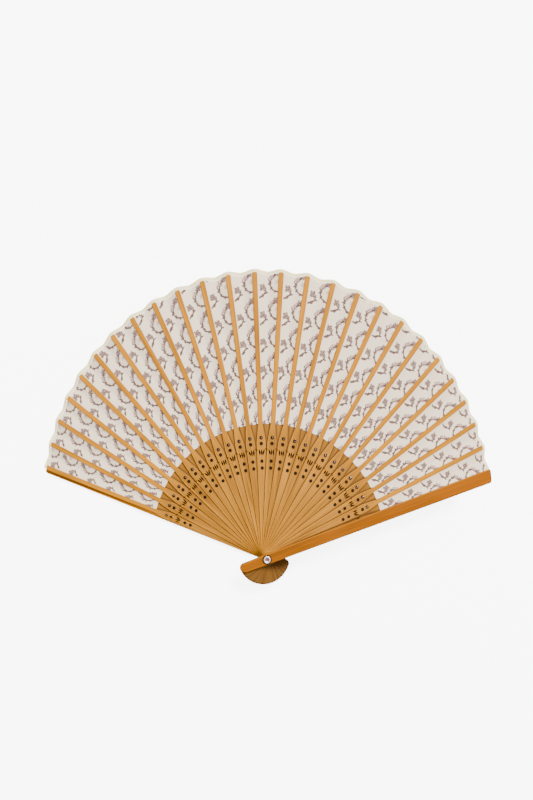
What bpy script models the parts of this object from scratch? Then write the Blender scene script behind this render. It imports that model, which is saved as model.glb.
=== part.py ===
"""Folding hand fan, open: pierced bamboo slips before and plain ones behind a pleated cloth leaf, two guards,
one rivet.

The pivot runs along +Z, with the flat back of the rivet at the origin. The open fan is even about +Y and its
front looks up. Angles are counted clockwise from +Y: the fan spreads from its back guard on the left to its
front guard on the right. Lengths are in metres.
"""

import math
import random

import bmesh
import bpy

MM = 0.001

# Spread of the sticks; a unit is a front slip and the back slip that follows it
UNITS = 25
OPENING = math.radians(137.0)
PITCH = OPENING / UNITS
BACK_LAG_SHARE = 0.5
GUARD_LAG_SHARE = 0.25
BACK_GUARD_LAG_SHARE = 0.05

# Cloth leaf and the tape that binds its outer edge
LEAF_INNER = 100.6 * MM
LEAF_OUTER = 188.5 * MM
LEAF_THICK = 0.10 * MM
LEAF_CLEARANCE = 0.03 * MM
LEAF_FLAT_HEM = 3.4 * MM
LEAF_STEPS = 3
PLEAT_RISE = 1.40 * MM
START_LAND = math.radians(0.4)
END_LAND = math.radians(2.2)
BINDING_GAP = 0.10 * MM
BINDING_WIDTH = 1.8 * MM
BINDING_THICK = 0.30 * MM
BEND_RADIUS = LEAF_INNER + LEAF_FLAT_HEM
RISE_SLOPE = PLEAT_RISE / (LEAF_OUTER - BEND_RADIUS)

# Slips
SLIP_THICK = 0.38 * MM
SLIP_WIDTH = 7.3 * MM
BACK_SHOULDER_WIDTH = 8.8 * MM
STRIP_WIDTH = 3.4 * MM
STRIP_SETBACK = 0.1 * MM
STRIP_CORNER = 0.5 * MM
BUTT_LENGTH = 24.0 * MM
BUTT_STEPS = 6
FRONT_TAPER = 13.0 * MM
FRONT_TAPER_TUCK = 0.4 * MM
BACK_TAPER = 8.0 * MM
BACK_TAPER_TUCK = 7.4 * MM
SLIP_GAP = LEAF_THICK + 2 * LEAF_CLEARANCE
LAYER = SLIP_THICK + SLIP_GAP
UNIT_RISE = 2 * LAYER

# Piercing of the front slips, counted inwards from the leaf's inner edge
HOLE_RADIUS = 1.2 * MM
HOLE_SIDES = 6
HOLE_DROPS = (9.4 * MM, 13.4 * MM, 25.7 * MM, 30.6 * MM)
SPRIG_DROP = 19.4 * MM
SPRIG_LENGTH = 4.6 * MM
SLOT_WIDTH = 1.1 * MM
SPRIG_SPREAD_SHARE = 0.21
SIDE_SLOT_SHARE = 0.72
SIDE_LEAN = math.radians(24.0)
SLOT_SWAY = math.radians(9.0)
SPRIG_SEED = 7

# Guards
GUARD_THICK = 3.0 * MM
GUARD_PIVOT_WIDTH = 8.3 * MM
GUARD_TIP_WIDTH = 10.7 * MM
GUARD_TIP_OVERHANG = 2.0 * MM
GUARD_CORNER = 1.2 * MM
GUARD_CORNER_STEPS = 3
GUARD_BEVEL = 0.4 * MM
GUARD_BEVEL_STEPS = 2
ROUND_SHARE = 0.5

# Rivet and washers
SHAFT_RADIUS = 1.5 * MM
RUNNING_GAP = 0.05 * MM
FACE_GAP = 0.16 * MM
PIVOT_SIDES = 10
HEAD_LIP = 2.1 * MM
HEAD_THICK = 0.8 * MM
HEAD_EDGE = 0.25 * MM
RING_HEIGHT = 1.1 * MM
RING_FOOT = 0.2 * MM
RIVET_WALL = 0.4 * MM
RECESS_DEPTH = 1.5 * MM
WASHER_RIM = 0.2 * MM
WASHER_THICK = 0.3 * MM
TURNED_SIDES = 24
RING_STEPS = 7
HEAD_RADIUS = SHAFT_RADIUS + HEAD_LIP
WASHER_RADIUS = HEAD_RADIUS + WASHER_RIM

# Heights along the pivot, from the rivet's back head upwards
BACK_WASHER_FOOT = HEAD_THICK + FACE_GAP
BACK_GUARD_FOOT = BACK_WASHER_FOOT + WASHER_THICK + FACE_GAP
SLIPS_FOOT = BACK_GUARD_FOOT + GUARD_THICK + SLIP_GAP
FRONT_GUARD_FOOT = SLIPS_FOOT + UNITS * UNIT_RISE
FRONT_WASHER_FOOT = FRONT_GUARD_FOOT + GUARD_THICK + FACE_GAP
RING_BASE = FRONT_WASHER_FOOT + WASHER_THICK + FACE_GAP

# Merge distance for the poles of turned pieces
MERGE = 0.001 * MM
SHARP = math.radians(35.0)

# Finishes: colour, roughness, metallic
FRONT_BAMBOO = ((0.64, 0.36, 0.12), 0.48, 0.0)
BACK_BAMBOO = ((0.45, 0.22, 0.07), 0.52, 0.0)
GUARD_BAMBOO = ((0.55, 0.21, 0.03), 0.40, 0.0)
CLOTH = ((0.70, 0.65, 0.61), 0.85, 0.0)
TAPE = ((0.93, 0.86, 0.67), 0.75, 0.0)
STEEL = ((0.72, 0.72, 0.74), 0.28, 1.0)


def front_angle(unit):
    """Angle of a front slip; unit counts from 0, and UNITS gives the place where the next one would lie."""
    return -OPENING / 2 + (unit - GUARD_LAG_SHARE) * PITCH


def back_foot(unit):
    """Height of a back slip's lower face."""
    return SLIPS_FOOT + unit * UNIT_RISE


def rise(radius):
    """How far a mountain fold lies above, or a valley fold below, its own level."""
    return max(radius - BEND_RADIUS, 0) * RISE_SLOPE


def add_object(name, mesh, finish):
    """Links a new object with its own Principled material."""
    colour, roughness, metallic = finish
    material = bpy.data.materials.new(name)
    material.use_nodes = True
    shader = material.node_tree.nodes["Principled BSDF"]
    shader.inputs["Base Color"].default_value = (*colour, 1.0)
    shader.inputs["Roughness"].default_value = roughness
    shader.inputs["Metallic"].default_value = metallic
    mesh.materials.append(material)
    piece = bpy.data.objects.new(name, mesh)
    bpy.context.scene.collection.objects.link(piece)
    return piece


def finished_mesh(bm, name):
    """Turns the faces outwards and hands the work over to a mesh."""
    bmesh.ops.recalc_face_normals(bm, faces=bm.faces)
    mesh = bpy.data.meshes.new(name)
    bm.to_mesh(mesh)
    bm.free()
    return mesh


def arc(centre_x, centre_y, radius, start, end, steps):
    """Points on an arc, both ends included; angles run anticlockwise from +X."""
    turns = [start + (end - start) * step / steps for step in range(steps + 1)]
    return [(centre_x + radius * math.cos(turn), centre_y + radius * math.sin(turn)) for turn in turns]


def round_hole(radius, centre_y, sides):
    """A polygon drawn round a circle, so the clear opening keeps the circle's radius."""
    corner = radius / math.cos(math.pi / sides)
    return arc(0, centre_y, corner, 0, 2 * math.pi, sides)[:-1]


def pivot_hole():
    """The hole that turns on the rivet's shaft."""
    return round_hole(SHAFT_RADIUS + RUNNING_GAP, 0, PIVOT_SIDES)


def lozenge(centre_x, centre_y, length, width, lean):
    """A pointed slot, leaning clockwise from the slip's length."""
    along = (math.sin(lean) * length / 2, math.cos(lean) * length / 2)
    across = (math.cos(lean) * width / 2, -math.sin(lean) * width / 2)
    steps = (along, across, (-along[0], -along[1]), (-across[0], -across[1]))
    return [(centre_x + step_x, centre_y + step_y) for step_x, step_y in steps]


def sprig(rng):
    """Three pointed slots, the outer two leaning outwards, each cut a little differently by hand."""
    centre = LEAF_INNER - SPRIG_DROP
    slots = []
    for side in (-1, 0, 1):
        length = SPRIG_LENGTH * (SIDE_SLOT_SHARE if side else 1)
        lean = side * SIDE_LEAN + rng.uniform(-SLOT_SWAY, SLOT_SWAY)
        slots.append(lozenge(side * SPRIG_SPREAD_SHARE * SLIP_WIDTH, centre, length, SLOT_WIDTH, lean))
    return slots


def loop_edges(bm, points):
    """Adds a closed loop of edges at height 0."""
    verts = [bm.verts.new((x, y, 0)) for x, y in points]
    return [bm.edges.new((verts[i - 1], verts[i])) for i in range(len(verts))]


def stick_mesh(name, below, above, holes, thick, slope_foot, slope_top, bevel=0):
    """A flat stick along +Y, cut at the bend into a pierced body and a plain end.

    below and above are the outlines on each side of the bend; the slopes tell how fast the lower and the
    upper face climb past the bend. bevel rounds the rim of the face that keeps level.
    """
    bm = bmesh.new()
    edges = loop_edges(bm, below)
    for hole in holes:
        edges += loop_edges(bm, hole)
    bmesh.ops.triangle_fill(bm, edges=edges, use_beauty=True, normal=(0, 0, 1))
    bm.faces.new([bm.verts.new((x, y, 0)) for x, y in above])
    bmesh.ops.remove_doubles(bm, verts=bm.verts, dist=MERGE)
    foot_verts = set(bm.verts)
    grown = bmesh.ops.extrude_face_region(bm, geom=list(bm.faces), use_keep_orig=True)
    top_verts = [item for item in grown["geom"] if isinstance(item, bmesh.types.BMVert)]
    for vert in top_verts:
        vert.co.z = thick
    for verts, slope in ((foot_verts, slope_foot), (top_verts, slope_top)):
        for vert in verts:
            vert.co.z += slope * max(vert.co.y - BEND_RADIUS, 0)
    bmesh.ops.recalc_face_normals(bm, faces=bm.faces)
    if bevel:
        level = thick if slope_top == 0 else 0
        bore = SHAFT_RADIUS + HEAD_LIP
        rim = [edge for edge in bm.edges if is_rim(edge, level, bore)]
        bmesh.ops.bevel(bm, geom=rim, offset=bevel, segments=GUARD_BEVEL_STEPS, profile=ROUND_SHARE,
                        affect="EDGES")
    return finished_mesh(bm, name)


def is_rim(edge, level, bore):
    """True for an edge at the given height where a flat face meets a side, outside the pivot hole."""
    if any(abs(vert.co.z - level) > MERGE for vert in edge.verts):
        return False
    if all(math.hypot(vert.co.x, vert.co.y) < bore for vert in edge.verts):
        return False
    flat = [abs(face.normal.z) > math.cos(SHARP) for face in edge.link_faces]
    return len(flat) == 2 and flat[0] != flat[1]


def butt_arc(half_width):
    """The rounded lower end, from its right side round to its left."""
    centre = half_width - BUTT_LENGTH
    return arc(0, centre, half_width, 0, -math.pi, BUTT_STEPS)


def slip_outlines(shoulder_width, taper_start, taper_end):
    """A slip's outline below and above the bend: a body that widens to its shoulder and narrows to a strip."""
    half_body = SLIP_WIDTH / 2
    half_shoulder = shoulder_width / 2
    half_strip = STRIP_WIDTH / 2
    narrowing = (half_shoulder - half_strip) / (taper_end - taper_start)
    half_bend = half_shoulder - narrowing * (min(BEND_RADIUS, taper_end) - taper_start)
    stations = [(half_shoulder, taper_start), (half_strip, taper_end), (half_bend, BEND_RADIUS)]
    tip = LEAF_OUTER - STRIP_SETBACK
    left = [(-x, y) for x, y in sorted(stations, key=lambda station: station[1])]
    below_left = [point for point in left if point[1] <= BEND_RADIUS]
    above_left = [point for point in left if point[1] >= BEND_RADIUS]
    above_left += [(-half_strip, tip - STRIP_CORNER), (STRIP_CORNER - half_strip, tip)]
    below = butt_arc(half_body) + below_left + [(-x, y) for x, y in reversed(below_left)]
    above = above_left + [(-x, y) for x, y in reversed(above_left)]
    return below, above


def front_slip_mesh(name, rng):
    """A slip whose strip lies before the leaf, on a mountain fold."""
    taper_end = LEAF_INNER + FRONT_TAPER_TUCK
    below, above = slip_outlines(SLIP_WIDTH, taper_end - FRONT_TAPER, taper_end)
    holes = [pivot_hole()] + [round_hole(HOLE_RADIUS, LEAF_INNER - drop, HOLE_SIDES) for drop in HOLE_DROPS]
    holes += sprig(rng)
    return stick_mesh(name, below, above, holes, SLIP_THICK, RISE_SLOPE, RISE_SLOPE)


def back_slip_mesh(name):
    """A plain slip whose strip lies behind the leaf, on a valley fold."""
    taper_end = LEAF_INNER + BACK_TAPER_TUCK
    below, above = slip_outlines(BACK_SHOULDER_WIDTH, taper_end - BACK_TAPER, taper_end)
    return stick_mesh(name, below, above, [pivot_hole()], SLIP_THICK, -RISE_SLOPE, -RISE_SLOPE)


def guard_mesh(name, slope_foot, slope_top):
    """An outer stick, wider at its tip, with a bevelled outer face and an inner face cut back for the leaf."""
    tip = LEAF_OUTER + GUARD_TIP_OVERHANG
    widening = (GUARD_TIP_WIDTH - GUARD_PIVOT_WIDTH) / 2 / tip

    def half(radius):
        return GUARD_PIVOT_WIDTH / 2 + widening * radius

    half_butt = half(-BUTT_LENGTH)
    bend = [(-half(BEND_RADIUS), BEND_RADIUS), (half(BEND_RADIUS), BEND_RADIUS)]
    corner_x = half(tip) - GUARD_CORNER
    corner_y = tip - GUARD_CORNER
    right = arc(corner_x, corner_y, GUARD_CORNER, math.pi / 2, 0, GUARD_CORNER_STEPS)
    left = [(-x, y) for x, y in reversed(right)]
    below = butt_arc(half_butt) + bend
    above = bend[:1] + left + right + bend[1:]
    return stick_mesh(name, below, above, [pivot_hole()], GUARD_THICK, slope_foot, slope_top, GUARD_BEVEL)


def pleat_folds():
    """The leaf's fold lines from left to right: angle, level, and +1 on a mountain or -1 on a valley."""
    folds = [(front_angle(0) - START_LAND, leaf_level(0), 1)]
    for unit in range(UNITS):
        folds.append((front_angle(unit), leaf_level(unit), 1))
        folds.append((front_angle(unit + BACK_LAG_SHARE), leaf_level(unit), -1))
    last_level = FRONT_GUARD_FOOT - SLIP_GAP / 2
    folds.append((front_angle(UNITS), last_level, 1))
    folds.append((front_angle(UNITS) + END_LAND, last_level, 1))
    return folds


def leaf_level(unit):
    """Height of the leaf's middle between a back slip and the front slip of the same unit."""
    return back_foot(unit) + SLIP_THICK + SLIP_GAP / 2


def pleated_mesh(name, radii, thick):
    """A pleated sheet between the first and the last radius; its mountain tops and valley floors keep
    the leaf's own height, whatever its thickness."""
    bm = bmesh.new()
    folds = pleat_folds()
    sheets = []
    for face_side in (-1, 1):
        rows = []
        for radius in radii:
            row = []
            for angle, level, side in folds:
                middle = level + side * (rise(radius) + (LEAF_THICK - thick) / 2)
                height = middle + face_side * thick / 2
                row.append(bm.verts.new((radius * math.sin(angle), radius * math.cos(angle), height)))
            rows.append(row)
        sheets.append(rows)
        for near, far in zip(rows, rows[1:]):
            for i in range(len(folds) - 1):
                add_panel(bm, near[i], near[i + 1], far[i + 1], far[i], folds[i][2] > 0)
    rim, facing = (rim_of(rows) for rows in sheets)
    for i in range(len(rim)):
        bm.faces.new((rim[i - 1], rim[i], facing[i], facing[i - 1]))
    return finished_mesh(bm, name)


def rim_of(rows):
    """The outer points of a grid, in order round it."""
    right = [row[-1] for row in rows[1:-1]]
    left = [row[0] for row in rows[1:-1]]
    return rows[0] + right + rows[-1][::-1] + left[::-1]


def add_panel(bm, near_left, near_right, far_right, far_left, left_is_mountain):
    """Two triangles whose shared edge runs from the mountain's near end to the valley's far end."""
    if left_is_mountain:
        bm.faces.new((near_left, near_right, far_right))
        bm.faces.new((near_left, far_right, far_left))
    else:
        bm.faces.new((near_left, near_right, far_left))
        bm.faces.new((near_right, far_right, far_left))


def turned_mesh(name, profile):
    """A profile of radius and height turned about the pivot."""
    bm = bmesh.new()
    verts = [bm.verts.new((radius, 0, height)) for radius, height in profile]
    closed = profile[0][0] > 0
    pairs = list(zip(verts, verts[1:]))
    if closed:
        pairs.append((verts[-1], verts[0]))
    edges = [bm.edges.new(pair) for pair in pairs]
    bmesh.ops.spin(bm, geom=verts + edges, cent=(0, 0, 0), axis=(0, 0, 1), angle=2 * math.pi,
                   steps=TURNED_SIDES, use_merge=True)
    bmesh.ops.remove_doubles(bm, verts=bm.verts, dist=MERGE)
    mesh = finished_mesh(bm, name)
    mesh.shade_smooth()
    mesh.set_sharp_from_angle(angle=SHARP)
    return mesh


def rivet_mesh(name):
    """Flat back head, shaft through every stick, and a front end rolled over into a hollow ring."""
    recess = SHAFT_RADIUS - RIVET_WALL
    half_ring = (HEAD_RADIUS - recess) / 2
    foot = RING_BASE + RING_FOOT
    roll = []
    for step in range(RING_STEPS + 1):
        turn = math.pi * step / RING_STEPS
        across = recess + half_ring + half_ring * math.cos(turn)
        roll.append((across, foot + (RING_HEIGHT - RING_FOOT) * math.sin(turn)))
    floor = RING_BASE + RING_FOOT - RECESS_DEPTH
    profile = [(0, 0), (HEAD_RADIUS - HEAD_EDGE, 0), (HEAD_RADIUS, HEAD_EDGE), (HEAD_RADIUS, HEAD_THICK)]
    profile += [(SHAFT_RADIUS, HEAD_THICK), (SHAFT_RADIUS, RING_BASE), (HEAD_RADIUS, RING_BASE)]
    profile += roll
    profile += [(recess, floor), (0, floor)]
    return turned_mesh(name, profile)


def washer_mesh(name):
    """A flat ring that turns freely on the shaft."""
    hole = (SHAFT_RADIUS + RUNNING_GAP) / math.cos(math.pi / TURNED_SIDES)
    profile = [(hole, 0), (WASHER_RADIUS, 0), (WASHER_RADIUS, WASHER_THICK), (hole, WASHER_THICK)]
    return turned_mesh(name, profile)


def clear_scene():
    """Removes every object that the scene holds."""
    for piece in list(bpy.data.objects):
        bpy.data.objects.remove(piece, do_unlink=True)


def add_axis(name, angle):
    """An empty on the pivot, turned to a stick's angle, that carries what swings with it."""
    axis = bpy.data.objects.new(name, None)
    axis.empty_display_size = HEAD_RADIUS
    axis.rotation_euler.z = -angle
    bpy.context.scene.collection.objects.link(axis)
    return axis


def add_slips():
    """The pierced slips, two to a unit."""
    rng = random.Random(SPRIG_SEED)
    for unit in range(UNITS):
        number = f"{unit + 1:02d}"
        axis = add_axis(f"unit_{number}_axis", front_angle(unit))
        back_name = f"back_rib_{number}"
        back = add_object(back_name, back_slip_mesh(back_name), BACK_BAMBOO)
        back.location.z = back_foot(unit)
        back.rotation_euler.z = -BACK_LAG_SHARE * PITCH
        back.parent = axis
        front_name = f"front_rib_{number}"
        front = add_object(front_name, front_slip_mesh(front_name, rng), FRONT_BAMBOO)
        front.location.z = back_foot(unit) + LAYER
        front.parent = axis


def add_guards():
    """The two outer sticks, a quarter pitch on from the first front slip and from the next free place."""
    back = add_object("back_guard", guard_mesh("back_guard", 0, -RISE_SLOPE), GUARD_BAMBOO)
    back.location.z = BACK_GUARD_FOOT
    back.rotation_euler.z = -front_angle(BACK_GUARD_LAG_SHARE)
    front = add_object("front_guard", guard_mesh("front_guard", RISE_SLOPE, 0), GUARD_BAMBOO)
    front.location.z = FRONT_GUARD_FOOT
    front.rotation_euler.z = -front_angle(UNITS + GUARD_LAG_SHARE)


def add_cloth():
    """The pleated leaf and the tape along its outer edge."""
    pleated = [BEND_RADIUS + (LEAF_OUTER - BEND_RADIUS) * step / LEAF_STEPS for step in range(LEAF_STEPS + 1)]
    add_object("leaf", pleated_mesh("leaf", [LEAF_INNER] + pleated, LEAF_THICK), CLOTH)
    tape_inner = LEAF_OUTER + BINDING_GAP
    tape = pleated_mesh("edge_binding", [tape_inner, tape_inner + BINDING_WIDTH], BINDING_THICK)
    add_object("edge_binding", tape, TAPE)


def add_hardware():
    """The rivet and the washer under each of its ends."""
    add_object("rivet", rivet_mesh("rivet"), STEEL)
    back = add_object("back_washer", washer_mesh("back_washer"), STEEL)
    back.location.z = BACK_WASHER_FOOT
    front = add_object("front_washer", washer_mesh("front_washer"), STEEL)
    front.location.z = FRONT_WASHER_FOOT


def main():
    """Builds the fan."""
    clear_scene()
    add_slips()
    add_guards()
    add_cloth()
    add_hardware()


main()
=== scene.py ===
"""Open folding hand fan: pierced bamboo slips, a pleated cloth leaf with a vine print, two guards, one rivet.

The pivot runs along +Z and the open fan is even about +Y, with its front up. Angles are counted clockwise
from +Y, from the back guard on the left to the front guard on the right. Lengths are in metres; a map of a
piece's own surface, in its UV, is in millimetres.
"""

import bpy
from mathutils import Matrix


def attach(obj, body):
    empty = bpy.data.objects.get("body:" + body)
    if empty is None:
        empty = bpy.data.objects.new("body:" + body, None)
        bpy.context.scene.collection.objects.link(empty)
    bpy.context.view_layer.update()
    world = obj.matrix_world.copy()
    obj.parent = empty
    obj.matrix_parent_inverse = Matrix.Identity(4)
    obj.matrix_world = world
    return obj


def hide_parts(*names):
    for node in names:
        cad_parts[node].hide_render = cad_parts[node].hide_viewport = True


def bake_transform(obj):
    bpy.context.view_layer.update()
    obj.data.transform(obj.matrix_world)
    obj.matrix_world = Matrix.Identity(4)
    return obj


bl_info = {
    "name": "Bamboo hand fan",
    "version": (1, 0, 0),
    "blender": (4, 5, 0),
    "location": "3D View > Sidebar > Fan",
    "description": "Builds the looks of an open folding fan around its frame",
    "category": "Add Mesh",
}

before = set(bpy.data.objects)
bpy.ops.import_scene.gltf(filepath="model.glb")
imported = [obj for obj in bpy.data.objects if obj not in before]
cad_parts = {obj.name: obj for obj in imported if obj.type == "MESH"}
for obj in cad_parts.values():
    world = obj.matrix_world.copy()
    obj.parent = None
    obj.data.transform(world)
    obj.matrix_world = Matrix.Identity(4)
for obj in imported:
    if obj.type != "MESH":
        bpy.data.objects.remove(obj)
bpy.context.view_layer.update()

import math

import bpy
import numpy as np
from bpy.props import FloatProperty, FloatVectorProperty, PointerProperty

MM = 0.001

# Lay of the sticks; a unit is a front slip and the back slip that follows it
UNITS = 25
OPENING = math.radians(137.0)
PITCH = OPENING / UNITS
BACK_LAG_SHARE = 0.5
GUARD_LAG_SHARE = 0.25
BACK_GUARD_LAG_SHARE = 0.05

# Cloth leaf and the tape along its outer edge
LEAF_INNER = 100.6 * MM
LEAF_OUTER = 188.5 * MM
LEAF_THICK = 0.10 * MM
LEAF_CLEARANCE = 0.03 * MM
BEND_RADIUS = 104.0 * MM
PLEAT_RISE = 1.40 * MM
RISE_SLOPE = PLEAT_RISE / (LEAF_OUTER - BEND_RADIUS)
START_LAND = math.radians(0.4)
END_LAND = math.radians(2.2)
FOLD_SOFT_SHARE = 0.6
FOLD_COLUMNS = 10
LEAF_ROWS = 44
TAPE_INNER = 188.6 * MM
TAPE_OUTER = 190.4 * MM
TAPE_THICK = 0.30 * MM
TAPE_SIDES = 10

# Lay of the print: its middle row's radius at the top of the leaf, how far that row sags towards the back and
# the front guard, the share of the half opening over which it does, and how the rows spread out inwards
PRINT_CREST = 154.3 * MM
PRINT_SAGS = (10.8 * MM, 7.4 * MM)
PRINT_SAG_SHARE = 0.75
PRINT_SPREAD = 1.5

# The print in millimetres from the strip on the right or left and from its row: strokes as start, end, half
# width, the arc as centre, radius, half width, blossoms as centre, radius, number of petals and their depth
RIGHT_STROKES = (((9.2, 1.4), (8.3, -0.4), 0.36), ((7.1, 1.3), (8.2, -0.4), 0.32),
                 ((6.2, 2.2), (5.0, 3.2), 0.40), ((9.3, -1.3), (8.2, -1.0), 0.36),
                 ((7.5, -4.2), (7.2, -3.6), 0.60), ((4.6, -6.3), (4.9, -6.6), 0.60))
LEFT_STROKES = (((-1.0, -5.2), (2.9, -4.2), 0.44), ((2.9, -4.2), (5.0, -2.8), 0.52),
                ((5.0, -2.8), (6.8, -0.9), 0.46), ((4.6, -3.2), (5.1, -2.6), 0.78),
                ((6.8, -0.9), (8.1, -0.7), 0.40), ((6.7, -0.9), (7.0, 0.6), 0.38))
RIGHT_ARC = ((1.7, -0.4), 6.6, 0.42)
RIGHT_BUD = ((8.1, -0.9), 0.9, 5, 0.4)
RIGHT_BLOSSOM = ((4.3, 4.0), 1.9, 6, 0.2)
PALE_BLOSSOM = ((7.2, 2.2), 1.7, 5, 0.22)
LEFT_BLOSSOM = ((4.9, 1.5), 2.3, 5, 0.16)
ROW_END = 7.2
LEFT_ROW_LEAD = 5.5

# Slips; a form is the width at the shoulder and the radii of the shoulder and the neck
SLIP_THICK = 0.38 * MM
SLIP_WIDTH = 7.3 * MM
STRIP_WIDTH = 3.4 * MM
STRIP_TIP = 188.4 * MM
STRIP_CORNER = 0.5 * MM
BUTT_LENGTH = 24.0 * MM
SLIP_BUTT = SLIP_WIDTH / 2 - BUTT_LENGTH
LAYER = SLIP_THICK + LEAF_THICK + 2 * LEAF_CLEARANCE
UNIT_RISE = 2 * LAYER
SLIPS_FOOT = 4.58 * MM
ACROSS = 12
EVEN = np.linspace(-1, 1, ACROSS + 1)
FRONT_FORM = (SLIP_WIDTH, 88.0 * MM, 101.0 * MM)
BACK_FORM = (9.0 * MM, 100.0 * MM, 108.0 * MM)

# Piercing: the holes and the sprig of slots, the cells of the mesh that they lie in, and burnt specks at a
# slip's edges, in millimetres across and along it
HOLE_RADIUS = 1.2 * MM
HOLE_PLACES = (70.0 * MM, 74.9 * MM, 87.2 * MM, 91.2 * MM)
SPRIG_PLACE = 81.2 * MM
SPRIG_LENGTH = 5.0 * MM
SLOT_WIDTH = 1.0 * MM
SIDE_SLOT_PLACE = 1.53 * MM
SIDE_SLOT_SHARE = 0.9
SIDE_LEAN = math.radians(9.0)
SLOT_SWAY = math.radians(14.0)
MIDDLE_SWAY_SHARE = 0.3
SHORTEST_SLOT_SHARE = 0.8
SPRIG_SEED = 7
BORE_CELL = 3.4 * MM
PIERCED_START = 67.4 * MM
PIERCED_END = 93.4 * MM
SPRIG_CELL = (77.6 * MM, 84.9 * MM)
SPRIG_PARTINGS = (0.3 * MM, 1.3 * MM)
SLIP_SHIFT = 40.0
EDGE_SPECKS = ((-3.5, 82.9), (3.4, 83.6))

# Guards
GUARD_THICK = 3.0 * MM
GUARD_PIVOT_WIDTH = 8.3 * MM
GUARD_TIP_WIDTH = 10.7 * MM
GUARD_TIP = 190.5 * MM
GUARD_CORNER = 1.2 * MM
GUARD_BORE_CELL = 3.6 * MM
BACK_GUARD_FOOT = 1.42 * MM
FRONT_GUARD_FOOT = SLIPS_FOOT + UNITS * UNIT_RISE

# Rivet and washers
BORE_RADIUS = 1.55 * MM
HEAD_RADIUS = 3.6 * MM
HEAD_THICK = 0.8 * MM
SHAFT_RADIUS = 1.5 * MM
RING_BASE = 35.20 * MM
RING_HEIGHT = 1.1 * MM
RING_FOOT = 0.2 * MM
RECESS_RADIUS = 1.1 * MM
RECESS_DEPTH = 1.5 * MM
WASHER_RADIUS = 3.8 * MM
WASHER_THICK = 0.3 * MM
WASHER_FEET = {"back_washer": 0.96 * MM, "front_washer": 34.74 * MM}
TURNED_SIDES = 72

# Waves of noise to a millimetre, across and along the bamboo or the cloth
FIBRE_WAVES = (5.0, 0.09)
FINE_WAVES = (16.0, 0.35)
TONE_WAVES = (0.06, 0.012)
STREAK_WAVES = (0.8, 0.022)
WANDER_WAVES = (0.45, 0.45)
KNOT_WAVES = (1.1, 1.1)
FLECK_WAVES = (1.9, 1.9)
SLUB_WAVES = (1.6, 0.05)
CLOUD_WAVES = (0.3, 0.12)

# Stage: the air under the rivet's head, the floor's reach and wall, the lamp and the camera
FLOOR_GAP = 0.02 * MM
FLOOR_REACH = 4.0
WALL_HEIGHT = 9.0
LAMP_SIZE = 0.6
LAMP_PLACE = (0.45, 1.1, 1.9)
LAMP_AIM = (0, 0.08, 0)
CAMERA_PLACE = (-21.90 * MM, 39.38 * MM, 324.04 * MM)
CAMERA_TURN = (math.radians(-21.03), math.radians(-3.98), math.radians(1.815))
CAMERA_LENS = 15.445
CAMERA_SHIFT = 0.30

# Points of a flat mesh that lie closer than this are one
MERGE = 0.001 * MM
MERGE_SHIFT = 0.317


def srgb(red, green, blue):
    """A colour from its usual 0 to 255 levels, as the light that they stand for."""
    levels = np.array((red, green, blue)) / 255
    linear = np.where(levels <= 0.04045, levels / 12.92, ((levels + 0.055) / 1.055) ** 2.4)
    return tuple(float(level) for level in linear)


def length_setting(name, description, default):
    """A length that a user may change."""
    return FloatProperty(name=name, description=description, default=default, min=0, unit="LENGTH",
                         subtype="DISTANCE", precision=5)


def colour_setting(name, description, *levels):
    """A colour that a user may change, from its usual levels."""
    return FloatVectorProperty(name=name, description=description, default=srgb(*levels), size=3,
                               min=0, max=1, subtype="COLOR")


def number_setting(name, description, default, **more):
    """A number that a user may change."""
    return FloatProperty(name=name, description=description, default=default, min=0, **more)


class FanBamboo(bpy.types.PropertyGroup):
    """Finish of the slips and the guards."""

    edge: length_setting("Slip edge", "Rounding of a slip's rim", 0.09 * MM)
    hole_edge: length_setting("Hole edge", "Rounding of a pierced hole's rim", 0.03 * MM)
    guard_edge: length_setting("Guard edge", "Rounding of a guard's outer rim", 0.6 * MM)
    strip: colour_setting("Strip", "Bamboo over the leaf", 172, 110, 12)
    body: colour_setting("Body", "Bamboo of the pierced bodies", 152, 101, 32)
    guard: colour_setting("Guard", "Stained bamboo of the guards", 130, 70, 0)
    # Also laid over the back slips as painted shade
    grain_and_shade: colour_setting("Grain", "Dark fibres along the bamboo, also painted shade on the back slips", 104, 62, 14)
    # Painted shade beside the edges of overlying slips and over the butts
    shade: colour_setting("Painted shade", "Grime in the corners between the slips", 74, 50, 26)
    # Char colour, also used for painted shadow lines beside the slips and painted shade seen through the
    # holes
    char_and_shadow: colour_setting("Scorch", "Burnt rims of the pierced holes, painted shade in them and painted shadow lines", 30, 22, 16)
    # Painted pale glint: light showing through the outermost holes
    hole_glint: colour_setting("Ash", "Painted pale glint in the outermost holes", 138, 112, 114)


class FanLeaf(bpy.types.PropertyGroup):
    """Cloth of the leaf and its print."""

    repeat: length_setting("Repeat", "Step of the vine print along a strip", 15.6 * MM)
    thread: length_setting("Thread", "Spacing of the cloth's threads", 0.28 * MM)
    cloth: colour_setting("Cloth", "Ground of the cloth", 228, 208, 182)
    stem: colour_setting("Stem", "Stems, buds and sprouts of the print", 70, 28, 30)
    blossom: colour_setting("Blossom", "Full blossoms of the print", 80, 38, 40)
    pale: colour_setting("Pale blossom", "Faint blossoms of the print", 142, 104, 98)
    tape: colour_setting("Tape", "Tape along the outer edge", 255, 238, 178)


class FanMetal(bpy.types.PropertyGroup):
    """Finish of the rivet and its washers."""

    bright: colour_setting("Plating", "Bright plating of the rivet", 232, 228, 228)
    dull: colour_setting("Recess", "Tarnish inside the rivet's rolled end", 168, 118, 112)
    # Painted shade round the rivet's rim and over the washers
    rim: colour_setting("Rim", "Grime round the rivet's rim", 52, 28, 14)
    roughness: number_setting("Roughness", "Roughness of the plating", 0.3, max=1, subtype="FACTOR")


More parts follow.
